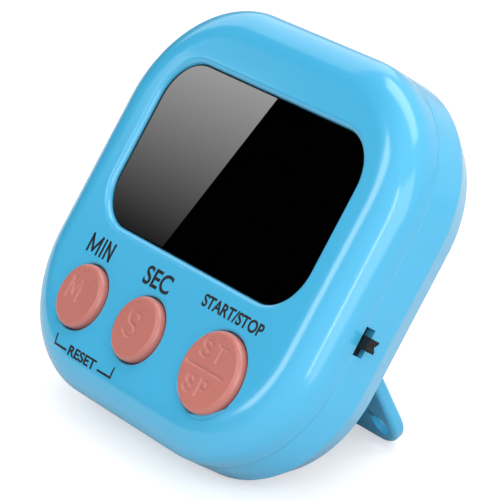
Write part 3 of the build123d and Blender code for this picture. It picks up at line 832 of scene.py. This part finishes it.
print_lines("print_min", [
    [(-24.3, -13.8), (-24.3, -10.95), (-22.95, -13.5), (-21.6, -10.95), (-21.6, -13.8)],
    [(-20.5, -13.8), (-20.5, -10.95)],
    [(-19.45, -13.8), (-19.45, -10.95), (-17.85, -13.8), (-17.85, -10.95)],
], 0.52)
print_lines("print_bracket_left", [[(-20.6, -28.6), (-20.5, -30.2), (-16.9, -30.2)]], 0.38)
print_lines("print_bracket_right", [[(-7.1, -30.3), (-3.4, -30.3), (-3.4, -28.6)]], 0.38)

# %% [markdown]
# ## Studio
#
# A glossy blue case looks like what it reflects, so the studio matters as much as the plastic.
# It has a white floor, a soft box overhead, one in front, a tall strip beside the camera, a
# large box on the right and one behind on the left. The surroundings are white, but for every
# ray other than the camera's own they fade to black on the left, which is the side that the
# window mirrors. That keeps the window black, and the left edge of the case a little deeper in
# colour. One card with a sloping edge hangs where the window mirrors it, and gives it its grey
# sheen. The card is aimed for this camera, so in other views the sheen moves or leaves.

# %% Lay the floor
floor_reach = 3.0
paper_lift = 0.5
floor_shape = bmesh.new()
bmesh.ops.create_grid(floor_shape, x_segments=1, y_segments=1, size=floor_reach)
floor_mesh = bpy.data.meshes.new("floor")
floor_shape.to_mesh(floor_mesh)
floor_shape.free()
floor = bpy.data.objects.new("floor", floor_mesh)
bpy.context.scene.collection.objects.link(floor)
paper = bpy.data.materials.new("White paper")
paper.use_nodes = True
paper_shader = paper.node_tree.nodes["Principled BSDF"]
paper_shader.inputs["Base Color"].default_value = (0.62, 0.62, 0.62, 1)
paper_shader.inputs["Roughness"].default_value = 0.9
paper_shader.inputs["Emission Color"].default_value = (1, 1, 1, 1)
seen = paper.node_tree.nodes.new("ShaderNodeLightPath").outputs["Is Camera Ray"]
lift = mapped(paper.node_tree, seen, 0.0, 1.0, 0.0, paper_lift)
paper.node_tree.links.new(lift, paper_shader.inputs["Emission Strength"])
floor_mesh.materials.append(paper)
print("floor at z = 0")

# %% Hang the soft boxes
subject = Vector([(low + high) / 2 for low, high in zip(*cad_box)])


def soft_box(name, direction, distance, size, radiance):
    """A white area light of a given brightness, facing the timer from a direction in the world."""
    lamp = bpy.data.lights.new(name, "AREA")
    lamp.shape = "RECTANGLE"
    lamp.size, lamp.size_y = size
    lamp.energy = radiance * pi * size[0] * size[1]
    holder = bpy.data.objects.new(name, lamp)
    bpy.context.scene.collection.objects.link(holder)
    heading = Vector(direction).normalized()
    holder.location = subject + heading * distance
    holder.rotation_euler = (-heading).to_track_quat("-Z", "Y").to_euler()


def board_direction(x, y, z):
    """A direction given on the board, in the world."""
    return RIGHT * x + UP * y + OUT * z


soft_box("overhead box", (-0.04, 0.28, 1), 1.0, (1.0, 0.4), 3.5)
soft_box("front box", board_direction(-0.40, 0.05, 0.91), 0.9, (0.2, 0.6), 4.6)
soft_box("camera strip", board_direction(0.64, 0.12, 0.72), 0.85, (0.09, 0.5), 7.0)
soft_box("right box", (1, -0.15, 0.45), 1.0, (0.8, 0.8), 1.95)
soft_box("back box", board_direction(-0.75, 0.62, 0.05), 0.9, (0.9, 0.5), 1.2)

# %% Surroundings
fade_start, fade_end = 0.20, 0.90
world = bpy.data.worlds.new("Studio")
bpy.context.scene.world = world
world.use_nodes = True
sky = world.node_tree
sky.nodes.clear()
way = sky.nodes.new("ShaderNodeTexCoord").outputs["Generated"]
toward = add_node(sky, "ShaderNodeVectorMath", {"operation": "DOT_PRODUCT"})
sky.links.new(way, toward.inputs[0])
toward.inputs[1].default_value = board_direction(-0.95, 0.02, 0.31)
dim = mapped(sky, toward.outputs["Value"], fade_start, fade_end, 1.0, 0.0)
around = add_node(sky, "ShaderNodeBackground", Color=(1, 1, 1, 1), Strength=dim)
white = add_node(sky, "ShaderNodeBackground", Color=(1, 1, 1, 1), Strength=1.0)
rays = sky.nodes.new("ShaderNodeLightPath")
choice = sky.nodes.new("ShaderNodeMixShader")
sky.links.new(rays.outputs["Is Camera Ray"], choice.inputs["Fac"])
sky.links.new(around.outputs[0], choice.inputs[1])
sky.links.new(white.outputs[0], choice.inputs[2])
result = sky.nodes.new("ShaderNodeOutputWorld")
sky.links.new(choice.outputs[0], result.inputs["Surface"])
bpy.context.scene.view_settings.view_transform = "Standard"
print("surroundings set")

# %% [markdown]
# ## Camera
#
# The camera stands well back with a long lens, to the right of the timer and above it, so the
# leaning face and the right side both show and the case keeps its shape.

# %% Place the camera
lens = bpy.data.cameras.new("camera")
lens.lens = 211.08
lens.sensor_width = 36
lens.clip_start = 0.01
camera = bpy.data.objects.new("camera", lens)
bpy.context.scene.collection.objects.link(camera)
camera_on_board = Vector((363.18, -0.76, 309.4))
aim_on_board = Vector((12.62, -1.09, 0))
camera.location = BOARD @ camera_on_board
sight = (BOARD @ aim_on_board - camera.location).normalized()
camera.rotation_euler = sight.to_track_quat("-Z", "Y").to_euler()
bpy.context.scene.camera = camera
print("camera", round((BOARD @ aim_on_board - camera.location).length, 4), "m from its aim")

# %% Hang the card that the window mirrors
mirrored = Vector((camera_on_board.x, camera_on_board.y, 2 * lens_front - camera_on_board.z))


def mirrored_at(x, y):
    """Where a card at the camera's height stands in the window's reflection of it at x, y."""
    return 2 * Vector((x, y, lens_front)) - mirrored


edge_top, edge_bottom = (0.15, 23.0), (-8.22, -7.41)
fall_power, dimmest, brightest = 1.3, 0.25, 5.5
card_shape = bmesh.new()
card_corners = [
    mirrored_at(window_low.x, window_low.y), mirrored_at(*edge_bottom),
    mirrored_at(*edge_top), mirrored_at(window_low.x, window_high.y),
]
card_shape.faces.new([card_shape.verts.new(corner) for corner in card_corners])
card_shape.transform(BOARD)
card_mesh = bpy.data.meshes.new("mirror card")
card_shape.to_mesh(card_mesh)
card_shape.free()
card = bpy.data.objects.new("mirror_card", card_mesh)
bpy.context.scene.collection.objects.link(card)
card.visible_camera = False
card.visible_shadow = False
glow = bpy.data.materials.new("Card glow")
glow.use_nodes = True
glow_tree = glow.node_tree
glow_tree.nodes.clear()
card_point = glow_tree.nodes.new("ShaderNodeTexCoord").outputs["Object"]
height = add_node(glow_tree, "ShaderNodeVectorMath", {"operation": "DOT_PRODUCT"})
glow_tree.links.new(card_point, height.inputs[0])
height.inputs[1].default_value = UP
card_span = [UP.dot(BOARD @ mirrored_at(0, y)) for y in (window_low.y, window_high.y)]
fall = mapped(glow_tree, height.outputs["Value"], *card_span, 0.0, 1.0)
curved = add_node(glow_tree, "ShaderNodeMath", {"operation": "POWER"})
glow_tree.links.new(fall, curved.inputs[0])
curved.inputs[1].default_value = fall_power
bright = mapped(glow_tree, curved.outputs[0], 0.0, 1.0, dimmest, brightest)
lamp_node = add_node(glow_tree, "ShaderNodeEmission", Color=(1, 1, 1, 1), Strength=bright)
sink = glow_tree.nodes.new("ShaderNodeOutputMaterial")
glow_tree.links.new(lamp_node.outputs[0], sink.inputs["Surface"])
card_mesh.materials.append(glow)
print("card hung")
